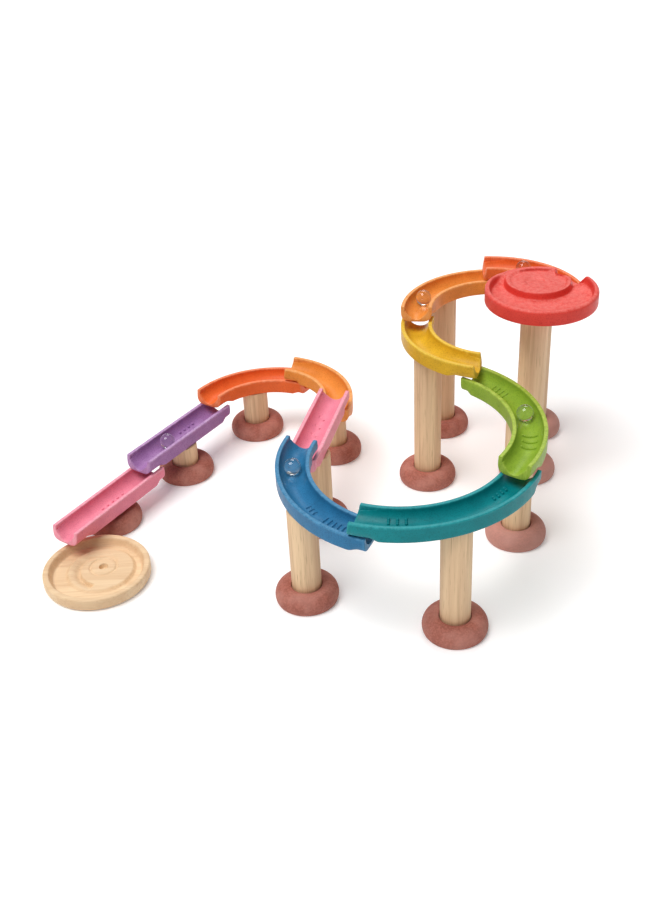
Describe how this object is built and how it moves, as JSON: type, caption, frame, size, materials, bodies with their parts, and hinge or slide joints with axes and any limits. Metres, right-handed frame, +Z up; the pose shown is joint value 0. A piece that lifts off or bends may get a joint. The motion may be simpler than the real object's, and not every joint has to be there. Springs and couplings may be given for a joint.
{
  "type": "marble run",
  "caption": "Wooden marble run: a start disc, curved and straight channel tracks stepping down on dowel posts with ring feet, glass marbles and a finish dish.",
  "frame": {"origin": "on the floor, under the middle of the whole run's bounding box", "axes": "+X to the right along the longest side, +Y to the back, +Z up; the start disc is at the right and the finish dish at the left front"},
  "size_m": [0.5554, 0.4192, 0.2155],
  "materials": {
    "start_disc_wood": "dyed composite wood, satin",
    "track_vermilion_wood": "dyed composite wood, satin",
    "track_orange_wood": "dyed composite wood, satin",
    "track_yellow_wood": "dyed composite wood, satin",
    "track_green_wood": "dyed composite wood, satin",
    "track_teal_wood": "dyed composite wood, satin",
    "track_blue_wood": "dyed composite wood, satin",
    "track_pink_wood": "dyed composite wood, satin",
    "track_purple_wood": "dyed composite wood, satin",
    "post_wood": "turned pale hardwood dowel, unfinished",
    "foot_wood": "pressed red-brown wood composite, matte",
    "dish_wood": "turned pale hardwood, unfinished",
    "marble_glass": "clear, polished"
  },
  "bodies": {
    "stand": {"post_01": "post_wood", "post_02": "post_wood", "post_03": "post_wood", "post_04": "post_wood", "post_05": "post_wood", "post_06": "post_wood", "post_07": "post_wood", "post_08": "post_wood", "post_09": "post_wood", "post_10": "post_wood", "post_11": "post_wood", "post_12": "post_wood", "foot_01": "foot_wood", "foot_02": "foot_wood", "foot_03": "foot_wood", "foot_04": "foot_wood", "foot_05": "foot_wood", "foot_06": "foot_wood", "foot_07": "foot_wood", "foot_08": "foot_wood", "foot_09": "foot_wood", "foot_10": "foot_wood", "foot_11": "foot_wood", "foot_12": "foot_wood", "finish_dish": "dish_wood"},
    "start_disc": {"start_disc": "start_disc_wood"},
    "track_02": {"track_02_vermilion_curve": "track_vermilion_wood"},
    "track_03": {"track_03_orange_curve": "track_orange_wood"},
    "track_04": {"track_04_yellow_curve": "track_yellow_wood"},
    "track_05": {"track_05_green_curve": "track_green_wood"},
    "track_06": {"track_06_teal_curve": "track_teal_wood"},
    "track_07": {"track_07_blue_curve": "track_blue_wood"},
    "track_08": {"track_08_pink_straight": "track_pink_wood"},
    "track_09": {"track_09_orange_curve": "track_orange_wood"},
    "track_10": {"track_10_vermilion_curve": "track_vermilion_wood"},
    "track_11": {"track_11_purple_straight": "track_purple_wood"},
    "track_12": {"track_12_pink_straight": "track_pink_wood"},
    "marble_1": {"marble_1": "marble_glass"},
    "marble_2": {"marble_2": "marble_glass"},
    "marble_3": {"marble_3": "marble_glass"},
    "marble_4": {"marble_4": "marble_glass"},
    "marble_5": {"marble_5": "marble_glass"}
  },
  "joints": [
    {"name": "start_disc_turn", "type": "hinge", "parent": "stand", "child": "start_disc", "pos_m": [0.21675, 0.0645, 0.2005], "axis": [0, 0, 1], "continuous": true},
    {"name": "track_02_swivel", "type": "hinge", "parent": "stand", "child": "track_02", "pos_m": [0.23875, 0.15, 0.1813], "axis": [0, 0, 1], "range_deg": [-5, 5]},
    {"name": "track_03_swivel", "type": "hinge", "parent": "stand", "child": "track_03", "pos_m": [0.13675, 0.1655, 0.1653], "axis": [0, 0, 1], "range_deg": [-5, 5]},
    {"name": "track_04_swivel", "type": "hinge", "parent": "stand", "child": "track_04", "pos_m": [0.11005, 0.0635, 0.1493], "axis": [0, 0, 1], "range_deg": [-5, 5]},
    {"name": "track_05_swivel", "type": "hinge", "parent": "stand", "child": "track_05", "pos_m": [0.18675, -0.047, 0.1333], "axis": [0, 0, 1], "range_deg": [-5, 5]},
    {"name": "track_06_swivel", "type": "hinge", "parent": "stand", "child": "track_06", "pos_m": [0.11075, -0.1796, 0.1173], "axis": [0, 0, 1], "range_deg": [-5, 5]},
    {"name": "track_07_swivel", "type": "hinge", "parent": "stand", "child": "track_07", "pos_m": [-0.02175, -0.1245, 0.1013], "axis": [0, 0, 1], "range_deg": [-5, 5]},
    {"name": "track_08_swivel", "type": "hinge", "parent": "stand", "child": "track_08", "pos_m": [-0.00725, -0.008, 0.0853], "axis": [0, 0, 1], "range_deg": [-5, 5]},
    {"name": "track_09_swivel", "type": "hinge", "parent": "stand", "child": "track_09", "pos_m": [0.01175, 0.1225, 0.0693], "axis": [0, 0, 1], "range_deg": [-5, 5]},
    {"name": "track_10_swivel", "type": "hinge", "parent": "stand", "child": "track_10", "pos_m": [-0.07575, 0.1796, 0.0533], "axis": [0, 0, 1], "range_deg": [-5, 5]},
    {"name": "track_11_swivel", "type": "hinge", "parent": "stand", "child": "track_11", "pos_m": [-0.15205, 0.0978, 0.0373], "axis": [0, 0, 1], "range_deg": [-5, 5]},
    {"name": "track_12_swivel", "type": "hinge", "parent": "stand", "child": "track_12", "pos_m": [-0.22195, 0.0117, 0.0213], "axis": [0, 0, 1], "range_deg": [-5, 5]},
    {"name": "marble_1_roll", "type": "hinge", "parent": "track_02", "child": "marble_1", "pos_m": [0.17775, 0.0945, 0.1934], "axis": [0, 0, 1], "range_deg": [-37, 25]},
    {"name": "marble_2_roll", "type": "hinge", "parent": "track_03", "child": "marble_2", "pos_m": [0.18175, 0.096, 0.1774], "axis": [0, 0, 1], "range_deg": [-45, 18]},
    {"name": "marble_3_roll", "type": "hinge", "parent": "track_05", "child": "marble_3", "pos_m": [0.07275, -0.065, 0.1454], "axis": [0, 0, 1], "range_deg": [-36, 26]},
    {"name": "marble_4_roll", "type": "hinge", "parent": "track_07", "child": "marble_4", "pos_m": [0.08775, -0.0755, 0.1134], "axis": [0, 0, 1], "range_deg": [-19, 44]},
    {"name": "marble_5_roll", "type": "slide", "parent": "track_11", "child": "marble_5", "axis": [-0.585, -0.8111, 0], "range_m": [-0.055, 0.036]}
  ]
}
